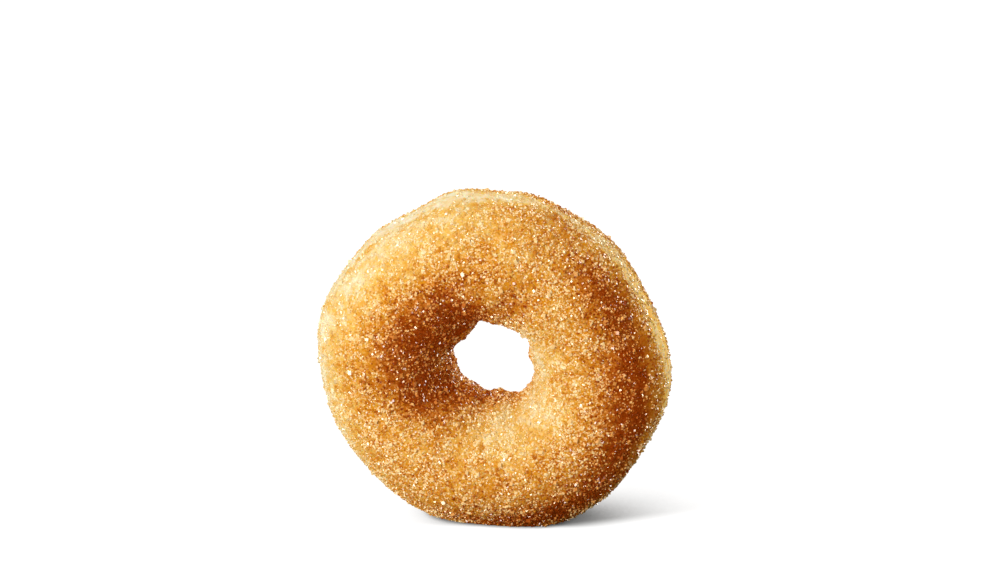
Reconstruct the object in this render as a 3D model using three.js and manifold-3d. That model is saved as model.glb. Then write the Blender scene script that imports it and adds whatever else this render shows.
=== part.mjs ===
// A sugared ring doughnut that stands on its rim. Millimetres, +Z up.
//
// The ring faces -Y, and its hole runs along Y. The origin lies on the surface that the
// doughnut stands on, under the middle of the hole. A place on the dough has two angles in
// degrees. "turn" goes round the ring: 0 at +X, 90 at the top. "roll" goes round the tube
// of dough: 0 on the outer rim, 90 on the front face, 180 in the hole, 270 on the back face.

import * as THREE from "three";
import { mergeVertices } from "three/addons/utils/BufferGeometryUtils.js";
import Module from "manifold-3d";

// The ring of dough.
const RING_RADIUS = 26.9; // middle of the hole to the middle of the tube of dough
const TUBE_HALF_WIDTH = 16.9; // middle of the tube out to the rim, and in to the hole
const TUBE_HALF_DEPTH = 16.8; // middle of the tube to the front face, and to the back face
const STANDING_HEIGHT = 40.5; // middle of the hole above the flat spot on the rim
const STEPS_ROUND_RING = 84;
const STEPS_ROUND_TUBE = 40;

// The pale waist: the shallow band round the rim that stayed above the frying fat.
const WAIST = { roll: 5, span: 17, depth: 0.55 };

// The crust lips that stand a little proud along both edges of the waist.
const WAIST_LIPS = [
  { roll: -17, span: 6, height: 0.2 },
  { roll: 27, span: 6, height: 0.2 },
];

// Broad swellings and dents of the dough, in rows of one roll. Each entry of a row holds
// its turn, its span in turn, and its height, which is negative for a dent.
const LUMP_ROWS = [
  // The rim.
  {
    roll: 0,
    rollSpan: 45,
    lumps: [
      [28, 14, -1.6],
      [62, 12, -0.7],
      [79, 8, 0.9],
      [90, 7, -0.8],
      [102, 8, 0.7],
      [119, 7, -0.9],
      [133, 7, 0.5],
      [165, 11, 1.9],
      [212, 9, -0.4],
      [230, 12, -0.5],
      [252, 8, 0.3],
      [296, 16, 1.4],
      [355, 11, 0.9],
    ],
  },
  // The hole.
  {
    roll: 182,
    rollSpan: 25,
    lumps: [
      [20, 8, 0.8],
      [45, 13, -2.6],
      [72, 14, -1.0],
      [103, 9, -2.6],
      [134, 12, 0.7],
      [174, 22, -1.2],
      [238, 10, 1.0],
      [298, 9, -0.7],
      [328, 12, -0.6],
      [357, 9, -1.0],
    ],
  },
  // The back lip of the hole.
  {
    roll: 200,
    rollSpan: 14,
    lumps: [
      [178, 14, 0.4],
      [210, 18, 0.3],
      [270, 10, 1.6],
    ],
  },
  // The funnel beside the hole.
  {
    roll: 140,
    rollSpan: 20,
    lumps: [
      [130, 24, -1.3],
      [196, 26, -0.9],
    ],
  },
  // The front of the flat spot.
  {
    roll: 44,
    rollSpan: 16,
    lumps: [
      [268, 22, -1.0],
    ],
  },
  // The front face.
  {
    roll: 100,
    rollSpan: 26,
    lumps: [
      [20, 22, 0.4],
      [62, 20, -0.3],
      [146, 26, 0.3],
      [215, 20, -0.3],
      [275, 28, 0.5],
      [322, 22, -0.4],
    ],
  },
  // The back face.
  {
    roll: 268,
    rollSpan: 30,
    lumps: [
      [12, 18, -0.6],
      [64, 22, 0.6],
      [124, 18, -0.5],
      [188, 24, 0.7],
      [246, 16, -0.6],
      [306, 22, 0.5],
    ],
  },
];

// Low waves all over the crust, as whole waves round the ring and round the tube.
const SWELL = { waves: 12, height: 0.055, phaseStep: 2.4 };

// The largest sugar crystals, sunk to their middle in the crust.
const CRYSTALS = {
  tries: 290,
  length: 1.15,
  width: 0.95,
  thickness: 0.85,
  lean: 0.22, // how far the top of a crystal is pushed sideways, as a share of its thickness
  smallest: 0.85, // size of the smallest one, as a share of the largest
  rise: 0.08, // middle of a crystal above the crust
  clearOfFloor: 2.2, // no crystal lower than this, so that the flat spot stays flat
  missingOnWaist: 0.9, // share of the crystals that the middle of the waist lacks
  seed: 41,
};

// Steps of a spread that fills a square evenly: powers of the root of x^3 = x + 1.
const EVEN_STEP_A = 0.7548776662;
const EVEN_STEP_B = 0.5698402910;

const FULL_TURN = 360;

function signedAngle(degrees) {
  return THREE.MathUtils.euclideanModulo(degrees + FULL_TURN / 2, FULL_TURN) - FULL_TURN / 2;
}

// 1 at the middle of a lump, falling off smoothly over its span.
function bell(offset, span) {
  const share = signedAngle(offset) / span;
  return Math.exp(-0.5 * share * share);
}

function swellHeight(turn, roll) {
  const a = THREE.MathUtils.degToRad(turn);
  const b = THREE.MathUtils.degToRad(roll);
  let sum = 0;
  for (let k = 1; k <= SWELL.waves; k += 1) {
    const wavesRoundRing = 2 + ((5 * k) % 9);
    const wavesRoundTube = ((3 * k) % 7) - 3;
    sum += Math.sin(wavesRoundRing * a + wavesRoundTube * b + SWELL.phaseStep * k * k);
  }
  return SWELL.height * sum;
}

// How far the crust stands out of the plain ring, along the ring's own normal.
function relief(turn, roll) {
  let height = swellHeight(turn, roll) - WAIST.depth * bell(roll - WAIST.roll, WAIST.span);
  for (const lip of WAIST_LIPS) {
    height += lip.height * bell(roll - lip.roll, lip.span);
  }
  for (const row of LUMP_ROWS) {
    const share = bell(roll - row.roll, row.rollSpan);
    for (const [lumpTurn, turnSpan, lumpHeight] of row.lumps) {
      height += lumpHeight * share * bell(turn - lumpTurn, turnSpan);
    }
  }
  return height;
}

// The plain ring's normal at a place: out of the tube of dough.
function ringNormal(turn, roll) {
  const a = THREE.MathUtils.degToRad(turn);
  const b = THREE.MathUtils.degToRad(roll);
  const section = new THREE.Vector2(Math.cos(b) / TUBE_HALF_WIDTH, Math.sin(b) / TUBE_HALF_DEPTH);
  section.normalize();
  return new THREE.Vector3(section.x * Math.cos(a), -section.y, section.x * Math.sin(a));
}

// A point of the crust at a place, or a little above it.
function crustPoint(turn, roll, above = 0) {
  const a = THREE.MathUtils.degToRad(turn);
  const b = THREE.MathUtils.degToRad(roll);
  const radius = RING_RADIUS + TUBE_HALF_WIDTH * Math.cos(b);
  const point = new THREE.Vector3(
    radius * Math.cos(a),
    -TUBE_HALF_DEPTH * Math.sin(b),
    STANDING_HEIGHT + radius * Math.sin(a),
  );
  return point.addScaledVector(ringNormal(turn, roll), relief(turn, roll) + above);
}

// A torus with every vertex moved to its place on the crust.
function ringGeometry() {
  const torus = new THREE.TorusGeometry(
    RING_RADIUS,
    TUBE_HALF_WIDTH,
    STEPS_ROUND_TUBE,
    STEPS_ROUND_RING,
  );
  torus.deleteAttribute("normal");
  torus.deleteAttribute("uv");
  const ring = mergeVertices(torus);
  const position = ring.attributes.position;
  const vertex = new THREE.Vector3();
  for (let i = 0; i < position.count; i += 1) {
    vertex.fromBufferAttribute(position, i);
    const outward = Math.hypot(vertex.x, vertex.y) - RING_RADIUS;
    const turn = THREE.MathUtils.radToDeg(Math.atan2(vertex.y, vertex.x));
    const roll = THREE.MathUtils.radToDeg(Math.atan2(vertex.z, outward));
    const place = crustPoint(turn, roll);
    position.setXYZ(i, place.x, place.y, place.z);
  }
  return ring;
}

// A block under the floor level, which cuts the flat spot that the doughnut stands on.
function floorBlockGeometry() {
  const width = 4 * RING_RADIUS;
  return new THREE.BoxGeometry(width, width, width).translate(0, 0, -width / 2);
}

// A small repeatable random number generator: each call gives a number from 0 to 1.
function seededDraw(seed) {
  const modulus = 2147483647;
  const factor = 48271;
  let state = seed;
  return () => {
    state = (state * factor) % modulus;
    return state / modulus;
  };
}

// Places for the crystals: spread evenly over the crust, fewer on the smooth pale waist,
// and none near the flat spot. The crust has less area where it is nearer to the hole.
function crystalPlaces(draw) {
  const places = [];
  for (let k = 1; k <= CRYSTALS.tries; k += 1) {
    const turn = FULL_TURN * ((k * EVEN_STEP_A) % 1);
    const roll = FULL_TURN * ((k * EVEN_STEP_B) % 1);
    const radius = RING_RADIUS + TUBE_HALF_WIDTH * Math.cos(THREE.MathUtils.degToRad(roll));
    const areaShare = radius / (RING_RADIUS + TUBE_HALF_WIDTH);
    const missing = CRYSTALS.missingOnWaist * bell(roll - WAIST.roll, WAIST.span);
    const wanted = draw() < areaShare * (1 - missing);
    if (wanted && crustPoint(turn, roll).z > CRYSTALS.clearOfFloor) {
      places.push({ turn, roll });
    }
  }
  return places;
}

// One crystal: a leaning block, turned and tipped at random on the crust.
function crystalGeometry(place, draw) {
  const size = CRYSTALS.smallest + (1 - CRYSTALS.smallest) * draw();
  const block = new THREE.BoxGeometry(
    CRYSTALS.length * size,
    CRYSTALS.width * size,
    CRYSTALS.thickness * size,
  );
  const lean = new THREE.Matrix4().makeShear(0, 0, 0, 0, CRYSTALS.lean, 0);
  const spin = new THREE.Euler(draw() * Math.PI, draw() * Math.PI, draw() * Math.PI);
  const middle = crustPoint(place.turn, place.roll, CRYSTALS.rise);
  block.applyMatrix4(lean);
  block.applyMatrix4(new THREE.Matrix4().makeRotationFromEuler(spin));
  return block.translate(middle.x, middle.y, middle.z);
}

const wasm = await Module();
wasm.setup();

// A closed mesh as a solid that can be joined and cut.
function toSolid(geometry) {
  const bare = geometry.clone();
  bare.deleteAttribute("normal");
  bare.deleteAttribute("uv");
  const merged = mergeVertices(bare);
  const mesh = new wasm.Mesh({
    numProp: 3,
    vertProperties: new Float32Array(merged.attributes.position.array),
    triVerts: new Uint32Array(merged.index.array),
  });
  return new wasm.Manifold(mesh);
}

function toGeometry(solid) {
  const mesh = solid.getMesh();
  const geometry = new THREE.BufferGeometry();
  geometry.setAttribute("position", new THREE.BufferAttribute(mesh.vertProperties, 3));
  geometry.setIndex(new THREE.BufferAttribute(mesh.triVerts, 1));
  geometry.computeVertexNormals();
  return geometry;
}

// The whole doughnut: the ring, cut flat where it stands, with its crystals joined on.
function doughnutSolid() {
  const draw = seededDraw(CRYSTALS.seed);
  let solid = toSolid(ringGeometry()).subtract(toSolid(floorBlockGeometry()));
  for (const place of crystalPlaces(draw)) {
    solid = solid.add(toSolid(crystalGeometry(place, draw)));
  }
  return solid;
}

const doughnut = new THREE.Mesh(
  toGeometry(doughnutSolid()),
  new THREE.MeshStandardMaterial({ color: 0xdca257, roughness: 0.7, metalness: 0 }),
);
doughnut.name = "doughnut";

const part = new THREE.Group();
part.add(doughnut);

export default part;
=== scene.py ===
import math

import bpy
import numpy as np
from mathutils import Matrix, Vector, noise


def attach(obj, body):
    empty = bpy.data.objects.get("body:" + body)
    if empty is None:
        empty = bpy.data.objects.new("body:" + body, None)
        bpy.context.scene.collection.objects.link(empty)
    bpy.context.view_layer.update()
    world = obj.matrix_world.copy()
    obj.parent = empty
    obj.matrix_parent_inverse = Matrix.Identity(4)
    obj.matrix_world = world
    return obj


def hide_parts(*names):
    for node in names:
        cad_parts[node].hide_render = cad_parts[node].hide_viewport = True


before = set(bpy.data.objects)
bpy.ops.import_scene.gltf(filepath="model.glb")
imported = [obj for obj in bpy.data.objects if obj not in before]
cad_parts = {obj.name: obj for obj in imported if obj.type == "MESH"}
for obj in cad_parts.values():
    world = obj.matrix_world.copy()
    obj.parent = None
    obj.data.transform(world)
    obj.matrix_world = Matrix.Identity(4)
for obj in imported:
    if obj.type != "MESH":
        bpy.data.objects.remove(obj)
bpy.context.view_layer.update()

# A sugared ring doughnut on its rim. The doughnut's own lengths are in millimetres, and
# become metres where a mesh is made. The materials, the floor, the camera and the lights
# are in metres. A place on the dough has two angles in degrees: "turn" goes round the
# ring, 0 at +X and 90 at the top; "roll" goes round the tube of dough, 0 on the rim, 90 on
# the front face, 180 in the hole and 270 on the back face.
MM = 0.001
FULL_TURN = 360.0

# The ring of dough: its radius to the middle of the tube, the tube's half width and half
# depth, the height of the ring's middle, and the steps of its mesh.
RING_RADIUS = 26.9
TUBE_HALF_WIDTH = 16.9
TUBE_HALF_DEPTH = 16.8
STANDING_HEIGHT = 40.5
DOUGH_STEPS_ROUND_RING = 420
DOUGH_STEPS_ROUND_TUBE = 200

# How far to each side of a place, in turn and in roll, the crust's slope is measured.
SLOPE_STEP = 0.5

# The pale waist round the rim, and the crust lips along its edges: roll, span, height.
WAIST = (5, 17, -0.55)
WAIST_LIPS = [(-17, 6, 0.2), (27, 6, 0.2)]

# Broad swellings and dents in rows of one roll: roll, roll span, and a list with the
# turn, turn span and height of each.
LUMP_ROWS = [
    # The rim.
    (0, 45, [
        (28, 14, -1.6), (62, 12, -0.7), (79, 8, 0.9), (90, 7, -0.8), (102, 8, 0.7),
        (119, 7, -0.9), (133, 7, 0.5), (165, 11, 1.9), (212, 9, -0.4), (230, 12, -0.5),
        (252, 8, 0.3), (296, 16, 1.4), (355, 11, 0.9),
    ]),
    # The hole.
    (182, 25, [
        (20, 8, 0.8), (45, 13, -2.6), (72, 14, -1.0), (103, 9, -2.6), (134, 12, 0.7),
        (174, 22, -1.2), (238, 10, 1.0), (298, 9, -0.7), (328, 12, -0.6), (357, 9, -1.0),
    ]),
    # The back lip of the hole.
    (200, 14, [(178, 14, 0.4), (210, 18, 0.3), (270, 10, 1.6)]),
    # The funnel beside the hole.
    (140, 20, [(130, 24, -1.3), (196, 26, -0.9)]),
    # The front of the flat spot.
    (44, 16, [(268, 22, -1.0)]),
    # The front face.
    (100, 26, [
        (20, 22, 0.4), (62, 20, -0.3), (146, 26, 0.3), (215, 20, -0.3), (275, 28, 0.5),
        (322, 22, -0.4),
    ]),
    # The back face.
    (268, 30, [
        (12, 18, -0.6), (64, 22, 0.6), (124, 18, -0.5), (188, 24, 0.7), (246, 16, -0.6),
        (306, 22, 0.5),
    ]),
]

# Low waves all over the crust: how many, the height of each, and a step between their
# phases. Remainders mix their wave numbers, 2 to 10 round the ring and -3 to 3 round the
# tube.
SWELL_WAVES = 12
SWELL_HEIGHT = 0.055
SWELL_PHASE_STEP = 2.4

# The pale waist's colour: its middle, half its width and the softness of its edge, all in
# roll. Its edge wavers: waves round the ring, their height in roll and their phase. Sugar
# and browner crust narrow it in two places: turn, turn span and how much. It is palest on
# the upper left, partly as painted light on the lit side: turn, turn span and how much.
WAIST_MIDDLE = 3
WAIST_HALF_ROLL = 15.5
WAIST_EDGE = 2.4
WAIST_WAVER = [(7, 1.6, 1.0), (16, 1.1, 4.0), (31, 0.7, 0.0)]
WAIST_NARROWED = [(65, 10, 12), (240, 17, 15)]
WAIST_BROWNING = 0.19
WAIST_PALEST_AND_PAINTED_LIGHT = (128, 46, 0.14)

# How brown the crust is, and where it is browner or paler, partly with painted shade and
# painted light as the groups below tell: turn, turn span, roll, roll span and how much.
BROWNING = 0.44
BROWNING_AND_PAINTED_LIGHT_MARKS = [
    # The outer shoulder on the right, from its upper part down to the foot: browning and
    # painted shade on the side away from the front light, and painted contact shade at the
    # foot.
    (36, 14, 49, 11, 0.24),
    (2, 34, 56, 15, 0.43),
    (357, 10, 80, 8, 0.20),
    (350, 16, 66, 8, 0.09),
    (318, 24, 48, 12, 0.34),
    (284, 20, 44, 11, 0.46),
    (258, 12, 78, 9, 0.07),
    # The pale shoulder on the left and at the top: paler crust and painted light on the lit
    # side.
    (134, 32, 40, 19, -0.33),
    (98, 14, 36, 14, -0.10),
    (72, 10, 65, 9, -0.12),
    (200, 24, 36, 16, -0.26),
    (172, 34, 27, 9, -0.14),
    # The funnel on the left of the hole, and the brown ring round it: browning and painted
    # shade where the funnel faces away from the light, darkest as painted shade in the crease
    # above the hole's upper left corner.
    (124, 22, 138, 22, 0.53),
    (105, 8, 132, 13, 0.50),
    (170, 28, 130, 18, 0.44),
    (203, 17, 119, 10, 0.23),
    (198, 14, 144, 11, 0.20),
    (148, 27, 99, 10, 0.38),
    (222, 18, 160, 14, 0.41),
    (242, 14, 154, 12, 0.10),
    (184, 22, 174, 11, 0.25),
    (176, 22, 160, 9, 0.08),
    # Above the hole.
    (74, 12, 114, 12, 0.19),
    (90, 9, 102, 8, -0.14),
    (101, 12, 91, 9, 0.14),
    # The hole's lower lip.
    (260, 20, 178, 9, 0.31),
    # Below the hole on the left.
    (228, 20, 95, 10, -0.11),
    # The pale ring on the right of the hole and below it.
    (316, 52, 140, 24, -0.33),
    (34, 19, 141, 16, -0.25),
    (296, 34, 91, 6, 0.07),
    # The back face.
    (60, 40, 250, 20, 0.15),
    (200, 44, 236, 24, 0.22),
    (300, 36, 300, 22, 0.18),
    (130, 40, 310, 24, -0.07),
    (140, 34, 342, 14, -0.14),
]

# The crust itself is browner than what shows of it through the sugar, partly as painted
# shade in the gaps between grains. Its brownness has broad blotches: size and share of each
# of two layers.
CRUST_BROWNER_AND_GAP_SHADE = 0.08
BLOTCHES = [(7.0, 0.10), (2.2, 0.07)]

# Fine pimples of the fried crust: size and height of each of two layers, and the share of
# their height that is missing on the waist.
PIMPLES = [(2.4, 0.16), (1.0, 0.07)]
PIMPLES_MISSING_ON_WAIST = 0.75

# A crystal of sugar is a block whose top is shifted by a share of its height, BLOCK_LEAN.
# Its shading turns from its own slope towards the crust's by another, SUGAR_SOFTNESS.
BLOCK_LEAN = 0.22
SUGAR_SOFTNESS = 0.2
BLOCK_CORNERS = np.array([
    (-1, -1, -1), (1, -1, -1), (1, 1, -1), (-1, 1, -1),
    (-1, -1, 1), (1, -1, 1), (1, 1, 1), (-1, 1, 1),
]) / 2
BLOCK_FACES = np.array([
    (0, 3, 2, 1), (4, 5, 6, 7), (0, 1, 5, 4), (1, 2, 6, 5), (2, 3, 7, 6), (3, 0, 4, 7),
])

# The largest crystals, which the solid has too: the places tried, the sides of the largest
# one, the smallest one's share of that, and how far the middles stand above the crust. Few
# lie on the waist and none near the floor.
LARGE_TRIES = 290
LARGE_SIZE = (1.15, 0.95, 0.85)
LARGE_SMALLEST = 0.85
LARGE_RISE = 0.08
LARGE_CLEAR_OF_FLOOR = 2.2
LARGE_MISSING_ON_WAIST = 0.9
# Steps round the ring and round the tube, as shares of a full turn, that spread the places
# evenly, and the seed, factor and modulus of the draws that choose among them.
STEP_ROUND_RING = 0.7548776662
STEP_ROUND_TUBE = 0.5698402910
LARGE_SEED = 41
DRAW_FACTOR = 48271
DRAW_MODULUS = 2147483647

# The small grains: pieces, grains to a piece and tries to a grain, a grain's usual length
# and its spread, the shortest and longest, the three sides as shares of the length, how
# much each side varies, and how far the middle stands above the crust, as a share of the
# length.
GRAIN_PIECES = 4
GRAINS_PER_PIECE = 16500
TRIES_PER_GRAIN = 4
GRAIN_LENGTH = 0.37
GRAIN_SIZE_SPREAD = 0.30
GRAIN_SMALLEST = 0.22
GRAIN_LARGEST = 0.8
GRAIN_SHAPE = (1.0, 0.82, 0.7)
GRAIN_SHAPE_SPREAD = (0.85, 1.15)
GRAIN_RISE = (-0.25, 0.2)
GRAIN_SEED = 7

# The sugar clings in patches: its usual depth, the size and share of each of two layers,
# and the share of grains that the barest places keep.
SUGAR_DEPTH = 0.5
SUGAR_PATCHES = [(5.0, 0.55), (1.8, 0.35)]
SUGAR_THINNEST = 0.35

# The share of grains that is missing on the waist, and the place on it where fewer are
# missing: turn, turn span and the share of them that it has after all.
GRAINS_MISSING_ON_WAIST = 0.93
WAIST_SUGARED = (60, 17, 0.75)

# Other places with fewer grains: turn, turn span, roll, roll span and the missing share.
BARE_MARKS = [
    # Beside the waist on the right.
    (8, 24, 38, 9, 0.72),
    # Beside the waist on the upper left.
    (142, 36, 38, 18, 0.5),
    # The hole's upper left wall.
    (124, 20, 150, 12, 0.6),
]

# White grains among the clear ones: their share where the sugar is thinnest and thickest.
# A grain's paleness is 0 for the crust's colour and 1 for the sugar's. A clear grain bends
# its light and is painted up to nearly twice as brown as the crust, as painted shade for the
# dark specks among the sugar, and a white one can hide some of the crust's brownness.
WHITE_SHARE = (0.12, 0.56)
LARGE_PALENESS = 0.5
CLEAR_PALENESS = (0.0, 0.09)
WHITE_PALENESS = (0.75, 1.0)
CLEAR_BROWNING_AND_PAINTED_SHADE = (0.75, 1.9)
WHITE_BROWNING = (0.7, 1.1)


# The crust's form and browning

def wrapped(angle):
    """The same angle, from -180 to 180."""
    return (angle + FULL_TURN / 2) % FULL_TURN - FULL_TURN / 2


def bell(offset, span):
    """1 at the middle of a lump, falling off smoothly over its span."""
    return np.exp(-0.5 * (wrapped(offset) / span) ** 2)


def unit(vectors):
    return vectors / np.linalg.norm(vectors, axis=-1, keepdims=True)


def cloudiness(points, size):
    """Soft clouds of this size at these points, from about -1 to 1."""
    return np.array([noise.noise(Vector(point) / size) for point in points])


def relief(turn, roll):
    """How far the crust stands out of the plain ring, along the ring's own normal."""
    a, b = np.radians(turn), np.radians(roll)
    height = np.zeros(len(turn))
    for k in range(1, SWELL_WAVES + 1):
        round_ring = 2 + (5 * k) % 9
        round_tube = (3 * k) % 7 - 3
        phase = SWELL_PHASE_STEP * k * k
        height += SWELL_HEIGHT * np.sin(round_ring * a + round_tube * b + phase)
    for lip_roll, span, rise in [WAIST] + WAIST_LIPS:
        height += rise * bell(roll - lip_roll, span)
    for row_roll, roll_span, lumps in LUMP_ROWS:
        share = bell(roll - row_roll, roll_span)
        for lump_turn, turn_span, rise in lumps:
            height += rise * share * bell(turn - lump_turn, turn_span)
    return height


def ring_normals(turn, roll):
    """The normals of the plain ring, whose tube is slightly oval."""
    a, b = np.radians(turn), np.radians(roll)
    across, along = np.cos(b) / TUBE_HALF_WIDTH, np.sin(b) / TUBE_HALF_DEPTH
    length = np.hypot(across, along)
    across, along = across / length, along / length
    return np.stack([across * np.cos(a), -along, across * np.sin(a)], -1)


def crust_points(turn, roll, above=0.0):
    """Points of the crust at these places, or a little above it."""
    a, b = np.radians(turn), np.radians(roll)
    radius = RING_RADIUS + TUBE_HALF_WIDTH * np.cos(b)
    plain = np.stack([
        radius * np.cos(a),
        -TUBE_HALF_DEPTH * np.sin(b),
        STANDING_HEIGHT + radius * np.sin(a),
    ], -1)
    return plain + ring_normals(turn, roll) * (relief(turn, roll) + above)[..., None]


def crust_normals(turn, roll):
    """The crust's own normals, from small steps round the ring and round the tube."""
    step = SLOPE_STEP
    along = crust_points(turn + step, roll) - crust_points(turn - step, roll)
    around = crust_points(turn, roll + step) - crust_points(turn, roll - step)
    return unit(np.cross(along, around))


def pimple_heights(points, roll):
    """Fine relief at these points. The waist is smoother than the fried crust."""
    heights = np.zeros(len(points))
    for size, height in PIMPLES:
        heights += height * cloudiness(points, size)
    return heights * (1 - PIMPLES_MISSING_ON_WAIST * bell(roll - WAIST[0], WAIST[1]))


def waist_share(turn, roll):
    """1 on the pale waist, 0 on the fried crust, with a wavering edge between them."""
    a = np.radians(turn)
    waver = sum(height * np.sin(waves * a + phase) for waves, height, phase in WAIST_WAVER)
    half = WAIST_HALF_ROLL + waver
    for narrow_turn, narrow_span, narrower in WAIST_NARROWED:
        half -= narrower * bell(turn - narrow_turn, narrow_span)
    off_middle = np.abs(wrapped(roll - WAIST_MIDDLE))
    return 1 / (1 + np.exp((off_middle - half) / WAIST_EDGE))


def browning_and_painted_light(turn, roll, points):
    """Crust brownness with painted shade and light: 0 where palest, 1 where darkest."""
    tone = np.full(len(turn), BROWNING)
    for mark_turn, turn_span, mark_roll, roll_span, more in BROWNING_AND_PAINTED_LIGHT_MARKS:
        tone += more * bell(turn - mark_turn, turn_span) * bell(roll - mark_roll, roll_span)
    for size, share in BLOTCHES:
        tone += share * cloudiness(points, size)
    waist = waist_share(turn, roll)
    # The waist's palest place, on the upper left, is partly painted light.
    pale_turn, pale_span, paler = WAIST_PALEST_AND_PAINTED_LIGHT
    waist_tone = WAIST_BROWNING - paler * bell(turn - pale_turn, pale_span)
    return np.clip(tone * (1 - waist) + waist_tone * waist, 0, 1)


# Materials

# Colours of the crust and of the sugar, from the palest place to the brownest.
CRUST_STOPS = [
    (0.00, (0.81, 0.72, 0.51)),
    (0.08, (0.77, 0.60, 0.33)),
    (0.25, (0.74, 0.430, 0.090)),
    (0.50, (0.63, 0.245, 0.012)),
    (0.75, (0.48, 0.127, 0.005)),
    (1.00, (0.28, 0.038, 0.001)),
]
SUGAR_STOPS = [
    (0.00, (0.95, 0.83, 0.57)),
    (0.25, (0.97, 0.78, 0.46)),
    (0.50, (0.98, 0.715, 0.35)),
    (0.75, (0.90, 0.41, 0.103)),
    (1.00, (0.54, 0.133, 0.018)),
]
CRUST_SURFACE = {
    "Roughness": 0.6,
    "Specular IOR Level": 0.0,
    "Subsurface Weight": 0.3,
    "Subsurface Radius": (0.0030, 0.0012, 0.0004),
    "Subsurface Scale": 1.0,
}
SUGAR_SURFACE = {
    "Roughness": 0.5,
    "Specular IOR Level": 0.0,
    "Coat Weight": 1.0,
    "Coat Roughness": 0.1,
    "Coat IOR": 1.85,
}
# Fine mottling: its scale and detail, the range of the noise that it uses, and how much
# browner or paler it makes the colour.
MOTTLE_SCALE = 420.0
MOTTLE_DETAIL = 3.0
MOTTLE_RANGE = (0.3, 0.7)
MOTTLE_BROWNING = 0.12
# The finest sugar, as specks: how many to a metre, the share of them that stays clear, and
# how much they roughen the crust.
SPECKS_PER_METRE = 2600.0
SPECK_CLEAR = 0.5
SPECK_BUMP = 0.6
SPECK_HEIGHT = 0.0001


def set_inputs(node, values):
    for name, value in values.items():
        node.inputs[name].default_value = value


def new_material(name, surface):
    material = bpy.data.materials.new(name)
    material.use_nodes = True
    nodes, links = material.node_tree.nodes, material.node_tree.links
    shader = nodes["Principled BSDF"]
    set_inputs(shader, surface)
    return material, nodes, links, shader


def point_value(nodes, name):
    """A value that a mesh carries at its points."""
    value = nodes.new("ShaderNodeAttribute")
    value.attribute_name = name
    return value.outputs["Fac"]


def math_result(nodes, links, operation, first, second):
    result = nodes.new("ShaderNodeMath")
    result.operation = operation
    links.new(first, result.inputs[0])
    links.new(second, result.inputs[1])
    return result.outputs["Value"]


def ramp_node(nodes, stops):
    """A ramp through these stops. A new stop starts halfway and then moves to its place."""
    ramp = nodes.new("ShaderNodeValToRGB")
    elements = ramp.color_ramp.elements
    while len(elements) < len(stops):
        elements.new(0.5)
    for element, (position, color) in zip(elements, stops):
        element.position = position
        element.color = (*color, 1)
    return ramp


def toned_color(nodes, links, stops):
    """A colour from how brown the crust is, painted shade and light included, finely mottled.
    """
    place = nodes.new("ShaderNodeTexCoord")
    mottle = nodes.new("ShaderNodeTexNoise")
    spread = nodes.new("ShaderNodeMapRange")
    ramp = ramp_node(nodes, stops)
    lowest, highest = MOTTLE_RANGE
    set_inputs(mottle, {"Scale": MOTTLE_SCALE, "Detail": MOTTLE_DETAIL})
    set_inputs(spread, {"From Min": lowest, "From Max": highest})
    set_inputs(spread, {"To Min": -MOTTLE_BROWNING, "To Max": MOTTLE_BROWNING})
    links.new(place.outputs["Object"], mottle.inputs["Vector"])
    links.new(mottle.outputs["Fac"], spread.inputs["Value"])
    tone = point_value(nodes, "browning_and_painted_light")
    mottled = math_result(nodes, links, "ADD", tone, spread.outputs["Result"])
    links.new(mottled, ramp.inputs["Fac"])
    return ramp.outputs["Color"]


def crust_to_sugar(nodes, links, share, shader):
    """Colours the shader like the crust where the share is 0 and like sugar where it is 1."""
    mix = nodes.new("ShaderNodeMix")
    mix.data_type = "RGBA"
    links.new(share, mix.inputs["Factor"])
    links.new(toned_color(nodes, links, CRUST_STOPS), mix.inputs["A"])
    links.new(toned_color(nodes, links, SUGAR_STOPS), mix.inputs["B"])
    links.new(mix.outputs["Result"], shader.inputs["Base Color"])


def crust_material():
    """Fried crust with the finest sugar on it, as specks that are paler than the crust."""
    material, nodes, links, shader = new_material("crust", CRUST_SURFACE)
    place = nodes.new("ShaderNodeTexCoord")
    cells = nodes.new("ShaderNodeTexVoronoi")
    split = nodes.new("ShaderNodeSeparateColor")
    paleness = nodes.new("ShaderNodeMapRange")
    bump = nodes.new("ShaderNodeBump")
    set_inputs(cells, {"Scale": SPECKS_PER_METRE})
    set_inputs(paleness, {"From Min": SPECK_CLEAR})
    set_inputs(bump, {"Strength": SPECK_BUMP, "Distance": SPECK_HEIGHT})
    links.new(place.outputs["Object"], cells.inputs["Vector"])
    links.new(cells.outputs["Color"], split.inputs["Color"])
    links.new(split.outputs["Red"], paleness.inputs["Value"])
    links.new(split.outputs["Green"], bump.inputs["Height"])
    links.new(bump.outputs["Normal"], shader.inputs["Normal"])
    sugared = point_value(nodes, "sugared")
    share = math_result(nodes, links, "MULTIPLY", paleness.outputs["Result"], sugared)
    crust_to_sugar(nodes, links, share, shader)
    return material


def sugar_material():
    """Grains that let the crust's colour through, some more and some less, and glint."""
    material, nodes, links, shader = new_material("sugar", SUGAR_SURFACE)
    facets = nodes.new("ShaderNodeNewGeometry")
    links.new(facets.outputs["True Normal"], shader.inputs["Coat Normal"])
    crust_to_sugar(nodes, links, point_value(nodes, "pale"), shader)
    return material


# The pieces of the doughnut

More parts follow.
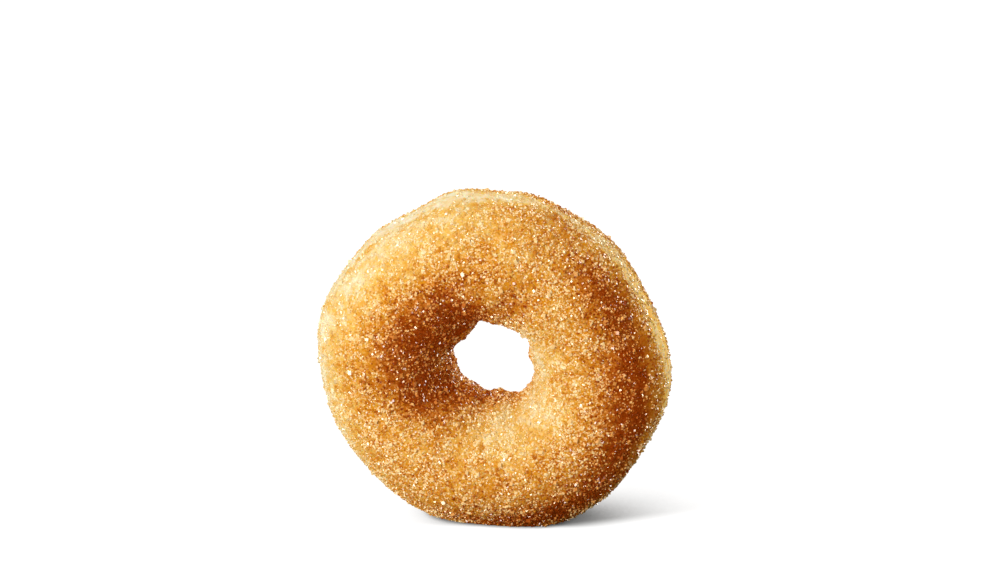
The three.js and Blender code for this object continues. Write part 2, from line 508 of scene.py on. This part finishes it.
def mesh_piece(name, points, faces, attributes, material, corner_normals=None):
    """A smooth mesh object from arrays: points in millimetres, faces of four corners."""
    mesh = bpy.data.meshes.new(name)
    mesh.vertices.add(len(points))
    mesh.vertices.foreach_set("co", (points * MM).astype(np.float32).ravel())
    mesh.loops.add(faces.size)
    mesh.loops.foreach_set("vertex_index", faces.astype(np.int32).ravel())
    mesh.polygons.add(len(faces))
    starts = np.arange(0, faces.size, faces.shape[1], dtype=np.int32)
    mesh.polygons.foreach_set("loop_start", starts)
    mesh.update(calc_edges=True)
    mesh.polygons.foreach_set("use_smooth", np.full(len(faces), True))
    if corner_normals is not None:
        mesh.normals_split_custom_set(corner_normals)
    for attribute, values in attributes.items():
        layer = mesh.attributes.new(attribute, "FLOAT", "POINT")
        layer.data.foreach_set("value", values.astype(np.float32))
    mesh.materials.append(material)
    piece = bpy.data.objects.new(name, mesh)
    bpy.context.scene.collection.objects.link(piece)
    return piece


def dough_piece(material):
    """The crust as one mesh, flat where it stands on the floor."""
    turns = np.linspace(0, FULL_TURN, DOUGH_STEPS_ROUND_RING, endpoint=False)
    rolls = np.linspace(0, FULL_TURN, DOUGH_STEPS_ROUND_TUBE, endpoint=False)
    turn, roll = (grid.ravel() for grid in np.meshgrid(turns, rolls, indexing="ij"))
    plain = crust_points(turn, roll)
    points = crust_points(turn, roll, pimple_heights(plain, roll))
    points[:, 2] = np.maximum(points[:, 2], 0)
    i = np.arange(DOUGH_STEPS_ROUND_RING)[:, None]
    j = np.arange(DOUGH_STEPS_ROUND_TUBE)[None, :]
    next_i = (i + 1) % DOUGH_STEPS_ROUND_RING
    next_j = (j + 1) % DOUGH_STEPS_ROUND_TUBE
    width = DOUGH_STEPS_ROUND_TUBE
    corners = [i * width + j, i * width + next_j, next_i * width + next_j, next_i * width + j]
    faces = np.stack([corner.ravel() for corner in corners], -1)
    # Off the waist the crust is browner, partly as painted shade between the grains.
    bare = 1 - waist_share(turn, roll)
    tones = {
        "browning_and_painted_light": browning_and_painted_light(turn, roll, plain) + CRUST_BROWNER_AND_GAP_SHADE * bare,
        "sugared": grain_density(turn, roll, sugar_depth(plain)),
    }
    return mesh_piece("dough", points, faces, tones, material)


def leaning_blocks(middles, sizes, rotations, normals):
    """Leaning blocks as one set of points, faces and corner normals.

    A sugar crystal lets light through, so a facet isn't as dark as its own slope: its
    shading normal lies between the facet's and the crust's.
    """
    corners = BLOCK_CORNERS[None] * sizes[:, None, :]
    corners[..., 0] += BLOCK_LEAN * corners[..., 2]
    corners = np.einsum("nij,nkj->nki", rotations, corners) + middles[:, None, :]
    first_corners = len(BLOCK_CORNERS) * np.arange(len(middles))
    faces = BLOCK_FACES[None] + first_corners[:, None, None]
    facet = corners[:, BLOCK_FACES]
    sides = unit(np.cross(facet[:, :, 1] - facet[:, :, 0], facet[:, :, 2] - facet[:, :, 0]))
    soft = unit(sides * (1 - SUGAR_SOFTNESS) + normals[:, None] * SUGAR_SOFTNESS)
    corner_normals = np.repeat(soft.reshape(-1, 3), BLOCK_FACES.shape[1], axis=0)
    return corners.reshape(-1, 3), faces.reshape(-1, 4), corner_normals


def on_corners(values):
    """Each block's value, on each of its corners."""
    return np.repeat(values, len(BLOCK_CORNERS))


def evenness(roll):
    """The share of tries to keep, so that places drawn by angle lie evenly on the ring."""
    radius = RING_RADIUS + TUBE_HALF_WIDTH * np.cos(np.radians(roll))
    return radius / (RING_RADIUS + TUBE_HALF_WIDTH)


def random_rotations(draws, count):
    """Rotations spread evenly over all directions, as matrices."""
    q = draws.normal(size=(count, 4))
    w, x, y, z = (q / np.linalg.norm(q, axis=1, keepdims=True)).T
    rows = [
        [1 - 2 * (y * y + z * z), 2 * (x * y - w * z), 2 * (x * z + w * y)],
        [2 * (x * y + w * z), 1 - 2 * (x * x + z * z), 2 * (y * z - w * x)],
        [2 * (x * z - w * y), 2 * (y * z + w * x), 1 - 2 * (x * x + y * y)],
    ]
    return np.stack([np.stack(row, -1) for row in rows], 1)


def sugar_depth(points):
    """How thickly the sugar lies at these points, from 0 to 1: it clings in patches."""
    depth = np.full(len(points), SUGAR_DEPTH)
    for size, share in SUGAR_PATCHES:
        depth += share * cloudiness(points, size)
    return np.clip(depth, 0, 1)


def grain_density(turn, roll, depth):
    """Share of the places that get a grain."""
    more_turn, more_span, more = WAIST_SUGARED
    bare = 1 - more * bell(turn - more_turn, more_span)
    density = 1 - GRAINS_MISSING_ON_WAIST * waist_share(turn, roll) * bare
    for mark_turn, turn_span, mark_roll, roll_span, missing in BARE_MARKS:
        less = missing * bell(turn - mark_turn, turn_span)
        density *= 1 - less * bell(roll - mark_roll, roll_span)
    return density * (SUGAR_THINNEST + (1 - SUGAR_THINNEST) * depth)


def grain_looks(draws, crust_tone, depth):
    """How brown and how pale each grain is: some are white, and the rest clear, with painted
    shade.
    """
    count = len(depth)
    fewest, most = WHITE_SHARE
    white = draws.uniform(size=count) < fewest + (most - fewest) * depth
    clear_pale = draws.uniform(*CLEAR_PALENESS, count)
    white_pale = draws.uniform(*WHITE_PALENESS, count)
    white_shows = draws.uniform(*WHITE_BROWNING, count)
    clear_shows = draws.uniform(*CLEAR_BROWNING_AND_PAINTED_SHADE, count)
    # Clear grains can be browner than the crust: painted shade for dark specks among the
    # sugar.
    tone = crust_tone * np.where(white, white_shows, clear_shows)
    return tone, np.where(white, white_pale, clear_pale)


def grain_piece(name, draws, material):
    """One share of the sugar coat, scattered over the whole crust."""
    tries = TRIES_PER_GRAIN * GRAINS_PER_PIECE
    turn = draws.uniform(0, FULL_TURN, tries)
    roll = draws.uniform(0, FULL_TURN, tries)
    plain = crust_points(turn, roll)
    depth = sugar_depth(plain)
    wanted = evenness(roll) * grain_density(turn, roll, depth)
    kept = np.flatnonzero(draws.uniform(size=tries) < wanted)[:GRAINS_PER_PIECE]
    turn, roll, plain, depth = turn[kept], roll[kept], plain[kept], depth[kept]
    count = len(turn)
    length = GRAIN_LENGTH * np.exp(GRAIN_SIZE_SPREAD * draws.normal(size=count))
    length = np.clip(length, GRAIN_SMALLEST, GRAIN_LARGEST)
    shape = np.array(GRAIN_SHAPE) * draws.uniform(*GRAIN_SHAPE_SPREAD, (count, 3))
    above = pimple_heights(plain, roll) + length * draws.uniform(*GRAIN_RISE, count)
    middles = crust_points(turn, roll, above)
    sizes = length[:, None] * shape
    rotations = random_rotations(draws, count)
    normals = crust_normals(turn, roll)
    tone, pale = grain_looks(draws, browning_and_painted_light(turn, roll, plain), depth)
    above_floor = middles[:, 2] > length
    blocks = (values[above_floor] for values in (middles, sizes, rotations, normals))
    points, faces, shading = leaning_blocks(*blocks)
    attributes = {
        "browning_and_painted_light": on_corners(tone[above_floor]),
        "pale": on_corners(pale[above_floor]),
    }
    return mesh_piece(name, points, faces, attributes, material, shading)


def seeded_draw(seed):
    """The repeatable draws that place the solid's crystals: numbers from 0 to 1."""
    state = seed
    while True:
        state = state * DRAW_FACTOR % DRAW_MODULUS
        yield state / DRAW_MODULUS


def rotation_matrix(x, y, z):
    """A rotation by three angles: about Z, then about Y, then about X."""
    cx, sx, cy, sy, cz, sz = (side(a) for a in (x, y, z) for side in (math.cos, math.sin))
    about_x = np.array([(1, 0, 0), (0, cx, -sx), (0, sx, cx)])
    about_y = np.array([(cy, 0, sy), (0, 1, 0), (-sy, 0, cy)])
    about_z = np.array([(cz, -sz, 0), (sz, cz, 0), (0, 0, 1)])
    return about_x @ about_y @ about_z


def large_crystal_piece(material):
    """The crystals that the solid has too, at the same places and with the same form."""
    draw = seeded_draw(LARGE_SEED)
    tries = np.arange(1, LARGE_TRIES + 1)
    turn = FULL_TURN * (tries * STEP_ROUND_RING % 1)
    roll = FULL_TURN * (tries * STEP_ROUND_TUBE % 1)
    wanted = evenness(roll) * (1 - LARGE_MISSING_ON_WAIST * bell(roll - WAIST[0], WAIST[1]))
    kept = np.array([next(draw) for _ in tries]) < wanted
    kept &= crust_points(turn, roll)[:, 2] > LARGE_CLEAR_OF_FLOOR
    turn, roll = turn[kept], roll[kept]
    sizes, rotations = [], []
    for _ in turn:
        size = LARGE_SMALLEST + (1 - LARGE_SMALLEST) * next(draw)
        sizes.append(np.array(LARGE_SIZE) * size)
        rotations.append(rotation_matrix(*(next(draw) * math.pi for _ in range(3))))
    middles = crust_points(turn, roll, LARGE_RISE)
    points, faces, shading = leaning_blocks(
        middles, np.array(sizes), np.array(rotations), crust_normals(turn, roll))
    attributes = {
        "browning_and_painted_light": on_corners(browning_and_painted_light(turn, roll, middles)),
        "pale": on_corners(np.full(len(turn), LARGE_PALENESS)),
    }
    return mesh_piece("large_crystals", points, faces, attributes, material, shading)


crust = crust_material()
sugar = sugar_material()
dough = dough_piece(crust)
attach(dough, "root")
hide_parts("doughnut")

large_crystals = large_crystal_piece(sugar)
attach(large_crystals, "root")

grain_draws = np.random.default_rng(GRAIN_SEED)
for number in range(1, GRAIN_PIECES + 1):
    grains = grain_piece(f"sugar_grains_{number}", grain_draws, sugar)
    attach(grains, "root")


# Floor, camera and light

# The floor: half its width, how far it lies below the doughnut, its surface and its glow.
FLOOR_HALF = 6.0
FLOOR_DROP = 0.00005
WHITE = (1, 1, 1, 1)
FLOOR_SURFACE = {
    "Base Color": (0.08, 0.08, 0.08, 1),
    "Roughness": 0.9,
    "Specular IOR Level": 0.0,
    "Emission Color": WHITE,
}
FLOOR_GLOW = 1.0
# The soft shade painted into the floor's glow: the side that it falls away from, how far off
# the doughnut still shades the floor, and how open the floor is where it is darkest and where
# it is clear. Two soft lines bound it in front: the way across each, and where each starts
# and ends.
SHADE_FROM = (-0.906, 0.082, 0.415)
SHADE_REACH = 0.0463
SHADE_DARKEST_AT = 0.163
SHADE_CLEAR_AT = 0.849
SHADE_FRONT_LINES = [
    ((-0.453, 0.892, 0.0), -0.0190, -0.0124),
    ((-0.101, 0.995, 0.0), -0.0109, -0.0074),
]
SHADE_SAMPLES = 16
# The painted dark line where the doughnut meets the floor, the same way, from straight above.
CONTACT_FROM = (0, 0, 1)
CONTACT_REACH = 0.0021
CONTACT_DARKEST_AT = -0.37
CONTACT_CLEAR_AT = 0.53
# How much painted bounce light the floor's glow sends back up, the middle of the round part
# that sends none, how far from there it is still dark, and how far from there it is clear.
FLOOR_BOUNCE = 0.45
BOUNCE_MIDDLE = (0.030, -0.004, 0.0)
BOUNCE_DARK_AT = 0.012
BOUNCE_CLEAR_AT = 0.060


def camera_sees(nodes, links, seen, otherwise):
    """One look for the camera, and another for the light that falls on other things."""
    rays = nodes.new("ShaderNodeLightPath")
    choose = nodes.new("ShaderNodeMixShader")
    links.new(rays.outputs["Is Camera Ray"], choose.inputs["Fac"])
    links.new(otherwise, choose.inputs[1])
    links.new(seen, choose.inputs[2])
    return choose.outputs["Shader"]


def smooth_range(nodes, start, end, highest=1.0):
    """A node that rises smoothly from 0 at the start to its highest value at the end."""
    smooth = nodes.new("ShaderNodeMapRange")
    smooth.interpolation_type = "SMOOTHSTEP"
    set_inputs(smooth, {"From Min": start, "From Max": end, "To Max": highest})
    return smooth


def openness(nodes, links, way, reach, darkest_at, clear_at):
    """How open the floor is towards one side: 0 where it is darkest, 1 where it is clear."""
    towards = nodes.new("ShaderNodeCombineXYZ")
    for socket, value in zip(towards.inputs, way):
        socket.default_value = value
    near = nodes.new("ShaderNodeAmbientOcclusion")
    near.samples = SHADE_SAMPLES
    set_inputs(near, {"Distance": reach})
    smooth = smooth_range(nodes, darkest_at, clear_at)
    links.new(towards.outputs["Vector"], near.inputs["Normal"])
    links.new(near.outputs["AO"], smooth.inputs["Value"])
    return smooth.outputs["Result"]


def behind_line(nodes, links, place, way, start, end):
    """0 in front of a soft line on the floor, 1 behind it."""
    across = nodes.new("ShaderNodeVectorMath")
    across.operation = "DOT_PRODUCT"
    across.inputs[1].default_value = way
    smooth = smooth_range(nodes, start, end)
    links.new(place, across.inputs[0])
    links.new(across.outputs["Value"], smooth.inputs["Value"])
    return smooth.outputs["Result"]


def floor_glow(nodes, links, place):
    """How much the floor glows: less in its painted shade and painted dark line by the
    doughnut.
    """
    shade = openness(nodes, links, SHADE_FROM, SHADE_REACH, SHADE_DARKEST_AT, SHADE_CLEAR_AT)
    contact = openness(
        nodes, links, CONTACT_FROM, CONTACT_REACH, CONTACT_DARKEST_AT, CONTACT_CLEAR_AT)
    behind = [behind_line(nodes, links, place, *line) for line in SHADE_FRONT_LINES]
    glow = nodes.new("ShaderNodeMapRange")
    set_inputs(glow, {"To Min": FLOOR_GLOW})
    links.new(math_result(nodes, links, "MULTIPLY", *behind), glow.inputs["Value"])
    links.new(shade, glow.inputs["To Max"])
    return math_result(nodes, links, "MULTIPLY", glow.outputs["Result"], contact)


def floor_bounce(nodes, links, place):
    """Painted bounce light from the floor's glow, with none from a painted dark patch by the
    shade.
    """
    away = nodes.new("ShaderNodeVectorMath")
    away.operation = "DISTANCE"
    away.inputs[1].default_value = BOUNCE_MIDDLE
    strength = smooth_range(nodes, BOUNCE_DARK_AT, BOUNCE_CLEAR_AT, FLOOR_BOUNCE)
    bounce = nodes.new("ShaderNodeEmission")
    links.new(place, away.inputs[0])
    links.new(away.outputs["Value"], strength.inputs["Value"])
    links.new(strength.outputs["Result"], bounce.inputs["Strength"])
    return bounce.outputs["Emission"]


def floor_material():
    """A white studio floor whose glow has a painted soft shade to the right of the doughnut.
    """
    material, nodes, links, shader = new_material("floor", FLOOR_SURFACE)
    place = nodes.new("ShaderNodeTexCoord").outputs["Object"]
    links.new(floor_glow(nodes, links, place), shader.inputs["Emission Strength"])
    bounce = floor_bounce(nodes, links, place)
    look = camera_sees(nodes, links, shader.outputs["BSDF"], bounce)
    links.new(look, nodes["Material Output"].inputs["Surface"])
    return material


def floor_piece():
    mesh = bpy.data.meshes.new("floor")
    corners = [(-1, -1), (1, -1), (1, 1), (-1, 1)]
    points = [(x * FLOOR_HALF, y * FLOOR_HALF, -FLOOR_DROP) for x, y in corners]
    mesh.from_pydata(points, [], [(0, 1, 2, 3)])
    mesh.materials.append(floor_material())
    floor = bpy.data.objects.new("floor", mesh)
    floor.visible_glossy = False
    bpy.context.scene.collection.objects.link(floor)
    return floor


floor = floor_piece()

# The camera looks at the face from a little to the right and above. The middle of the
# hole shows at HOLE_PIXEL of a picture of this size, at PIXELS_PER_METRE there.
CAMERA_AZIMUTH = math.radians(8.5)
CAMERA_ELEVATION = math.radians(18)
CAMERA_DISTANCE = 0.8
PICTURE_WIDTH = 1000
PICTURE_HEIGHT = 563
PIXELS_PER_METRE = 4000
HOLE_PIXEL = (494.5, 361.5)
SENSOR_WIDTH = 36
hole_middle = Vector((0, 0, STANDING_HEIGHT * MM))

# The lights, all at one distance from the middle of the hole: name, the side that each one
# shines from, its width, power and colour.
LIGHT_DISTANCE = 1.2
LIGHTS = [
    ("front", (-0.44, -0.82, 0.32), 0.8, 13.9, (1, 0.96, 0.87)),
    ("top", (0.25, 0.50, 0.80), 0.9, 3.2, (1, 0.95, 0.88)),
    ("behind", (0.54, 0.81, 0.18), 0.9, 15, (1, 0.95, 0.88)),
]
WORLD_STRENGTH = 0.60
WORLD_COLOR = (1, 0.98, 0.92, 1)


def aim(thing, place, target):
    thing.location = place
    thing.rotation_mode = "QUATERNION"
    thing.rotation_quaternion = (target - place).to_track_quat("-Z", "Y")


def add_camera():
    level = math.cos(CAMERA_ELEVATION)
    back = Vector((
        math.sin(CAMERA_AZIMUTH) * level,
        -math.cos(CAMERA_AZIMUTH) * level,
        math.sin(CAMERA_ELEVATION),
    ))
    right = Vector((math.cos(CAMERA_AZIMUTH), math.sin(CAMERA_AZIMUTH), 0))
    up = back.cross(right)
    across = (HOLE_PIXEL[0] - PICTURE_WIDTH / 2) / PIXELS_PER_METRE
    down = (HOLE_PIXEL[1] - PICTURE_HEIGHT / 2) / PIXELS_PER_METRE
    target = hole_middle - right * across + up * down
    data = bpy.data.cameras.new("camera")
    data.sensor_width = SENSOR_WIDTH
    data.lens = SENSOR_WIDTH * CAMERA_DISTANCE * PIXELS_PER_METRE / PICTURE_WIDTH
    camera = bpy.data.objects.new("camera", data)
    bpy.context.scene.collection.objects.link(camera)
    aim(camera, target + back * CAMERA_DISTANCE, target)
    bpy.context.scene.camera = camera


def add_area_light(name, side, width, power, color):
    data = bpy.data.lights.new(name, "AREA")
    data.shape = "DISK"
    data.size = width
    data.energy = power
    data.color = color
    light = bpy.data.objects.new(name, data)
    bpy.context.scene.collection.objects.link(light)
    aim(light, hole_middle + Vector(side).normalized() * LIGHT_DISTANCE, hole_middle)


def set_world():
    """Even light from all round, which the camera sees as a white studio."""
    world = bpy.data.worlds.new("studio")
    bpy.context.scene.world = world
    world.use_nodes = True
    world.cycles_visibility.glossy = False
    nodes, links = world.node_tree.nodes, world.node_tree.links
    light = nodes["Background"]
    white = nodes.new("ShaderNodeBackground")
    set_inputs(light, {"Color": WORLD_COLOR, "Strength": WORLD_STRENGTH})
    set_inputs(white, {"Color": WHITE})
    look = camera_sees(nodes, links, white.outputs["Background"], light.outputs["Background"])
    links.new(look, nodes["World Output"].inputs["Surface"])


add_camera()
for light in LIGHTS:
    add_area_light(*light)
set_world()
bpy.context.scene.view_settings.view_transform = "Standard"
